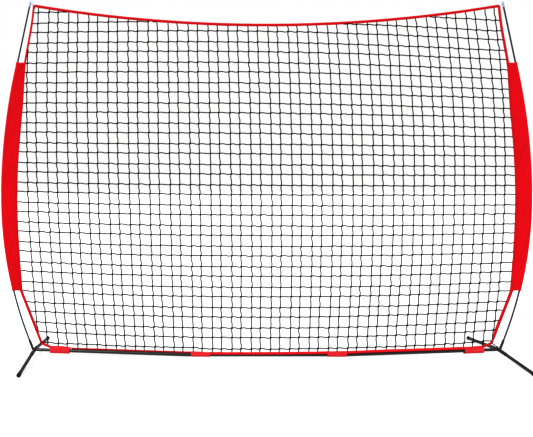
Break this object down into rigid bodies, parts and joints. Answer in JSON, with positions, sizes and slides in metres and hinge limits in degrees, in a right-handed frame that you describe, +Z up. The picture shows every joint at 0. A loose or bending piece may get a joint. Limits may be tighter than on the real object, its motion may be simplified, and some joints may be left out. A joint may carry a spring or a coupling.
{
  "type": "pitching target net",
  "caption": "Free-standing bow-frame sports net: a bound square-mesh panel held between two bent fibreglass poles on a take-apart steel base with pull-out legs.",
  "frame": {"origin": "on the ground, in the net's plane, midway between the two hubs", "axes": "+X to the right along the base, -Y towards the thrower, +Z up"},
  "size_m": [4.1964, 0.8782, 2.8088],
  "materials": {
    "frame_steel": "satin black powder coat",
    "ferrule_steel": "plain drawn tube",
    "button_steel": "bright plated",
    "spring_steel": "rolled strip",
    "fibreglass": "smooth pultruded rod",
    "tip_plastic": "moulded",
    "cap_plastic": "moulded",
    "net_cord": "knotted cord",
    "binding": "folded webbing tape",
    "sleeve_fabric": "coated woven cloth",
    "tab_webbing": "woven tab with hook and loop",
    "loop_webbing": "narrow webbing",
    "bungee": "braided elastic cord"
  },
  "bodies": {
    "root": {"hub_left": "frame_steel", "hub_right": "frame_steel", "base_tube_left": "frame_steel", "base_tube_right": "frame_steel", "base_coupler_left": "frame_steel", "base_coupler_right": "frame_steel", "pole_lower_left": "fibreglass", "pole_lower_right": "fibreglass", "pole_middle_left": "fibreglass", "pole_middle_right": "fibreglass", "pole_upper_left": "fibreglass", "pole_upper_right": "fibreglass", "pole_ferrule_lower_left": "ferrule_steel", "pole_ferrule_lower_right": "ferrule_steel", "pole_ferrule_upper_left": "ferrule_steel", "pole_ferrule_upper_right": "ferrule_steel", "pole_tip_left": "tip_plastic", "pole_tip_right": "tip_plastic", "side_binding_left": "binding", "side_binding_right": "binding", "side_sleeve_left": "sleeve_fabric", "side_sleeve_right": "sleeve_fabric", "corner_loop_left": "loop_webbing", "corner_loop_right": "loop_webbing", "corner_bungee_left": "bungee", "corner_bungee_right": "bungee", "base_tube_center": "frame_steel", "base_button_springs": "spring_steel", "net_panel": "net_cord", "top_binding": "binding", "bottom_binding": "binding", "base_tab_outer_left": "tab_webbing", "base_tab_inner_left": "tab_webbing", "base_tab_inner_right": "tab_webbing", "base_tab_outer_right": "tab_webbing"},
    "front_left_leg": {"leg_front_left": "frame_steel", "leg_cap_front_left": "cap_plastic", "leg_spring_front_left": "spring_steel"},
    "front_left_leg_button": {"leg_button_front_left": "button_steel"},
    "rear_left_leg": {"leg_rear_left": "frame_steel", "leg_cap_rear_left": "cap_plastic", "leg_spring_rear_left": "spring_steel"},
    "rear_left_leg_button": {"leg_button_rear_left": "button_steel"},
    "left_hub_button": {"hub_button_left": "button_steel"},
    "left_coupler_button": {"coupler_button_left": "button_steel"},
    "front_right_leg": {"leg_front_right": "frame_steel", "leg_cap_front_right": "cap_plastic", "leg_spring_front_right": "spring_steel"},
    "front_right_leg_button": {"leg_button_front_right": "button_steel"},
    "rear_right_leg": {"leg_rear_right": "frame_steel", "leg_cap_rear_right": "cap_plastic", "leg_spring_rear_right": "spring_steel"},
    "rear_right_leg_button": {"leg_button_rear_right": "button_steel"},
    "right_hub_button": {"hub_button_right": "button_steel"},
    "right_coupler_button": {"coupler_button_right": "button_steel"}
  },
  "joints": [
    {"name": "front_left_leg_slide", "type": "slide", "parent": "root", "child": "front_left_leg", "axis": [0, -0.9954, -0.0956], "range_m": [0, 0.058], "deforming": ["leg_button_front_left", "leg_spring_front_left"]},
    {"name": "front_left_leg_button_press", "type": "slide", "parent": "front_left_leg", "child": "front_left_leg_button", "axis": [0, -0.0956, 0.9954], "range_m": [-0.0052, 0], "stiffness_N_per_m": 900, "springref_m": 0.001, "deforming": ["leg_spring_front_left"]},
    {"name": "rear_left_leg_slide", "type": "slide", "parent": "root", "child": "rear_left_leg", "axis": [0, 0.9954, -0.0956], "range_m": [0, 0.058], "deforming": ["leg_button_rear_left", "leg_spring_rear_left"]},
    {"name": "rear_left_leg_button_press", "type": "slide", "parent": "rear_left_leg", "child": "rear_left_leg_button", "axis": [0, 0.0956, 0.9954], "range_m": [-0.0052, 0], "stiffness_N_per_m": 900, "springref_m": 0.001, "deforming": ["leg_spring_rear_left"]},
    {"name": "left_hub_button_press", "type": "slide", "parent": "root", "child": "left_hub_button", "axis": [0, 1, 0], "range_m": [-0.005, 0], "stiffness_N_per_m": 900, "springref_m": 0.001, "deforming": ["base_button_springs"]},
    {"name": "left_coupler_button_press", "type": "slide", "parent": "root", "child": "left_coupler_button", "axis": [0, 1, 0], "range_m": [-0.005, 0], "stiffness_N_per_m": 900, "springref_m": 0.001, "deforming": ["base_button_springs"]},
    {"name": "front_right_leg_slide", "type": "slide", "parent": "root", "child": "front_right_leg", "axis": [0, -0.9954, -0.0956], "range_m": [0, 0.058], "deforming": ["leg_button_front_right", "leg_spring_front_right"]},
    {"name": "front_right_leg_button_press", "type": "slide", "parent": "front_right_leg", "child": "front_right_leg_button", "axis": [0, -0.0956, 0.9954], "range_m": [-0.0052, 0], "stiffness_N_per_m": 900, "springref_m": 0.001, "deforming": ["leg_spring_front_right"]},
    {"name": "rear_right_leg_slide", "type": "slide", "parent": "root", "child": "rear_right_leg", "axis": [0, 0.9954, -0.0956], "range_m": [0, 0.058], "deforming": ["leg_button_rear_right", "leg_spring_rear_right"]},
    {"name": "rear_right_leg_button_press", "type": "slide", "parent": "rear_right_leg", "child": "rear_right_leg_button", "axis": [0, 0.0956, 0.9954], "range_m": [-0.0052, 0], "stiffness_N_per_m": 900, "springref_m": 0.001, "deforming": ["leg_spring_rear_right"]},
    {"name": "right_hub_button_press", "type": "slide", "parent": "root", "child": "right_hub_button", "axis": [0, 1, 0], "range_m": [-0.005, 0], "stiffness_N_per_m": 900, "springref_m": 0.001, "deforming": ["base_button_springs"]},
    {"name": "right_coupler_button_press", "type": "slide", "parent": "root", "child": "right_coupler_button", "axis": [0, 1, 0], "range_m": [-0.005, 0], "stiffness_N_per_m": 900, "springref_m": 0.001, "deforming": ["base_button_springs"]}
  ]
}
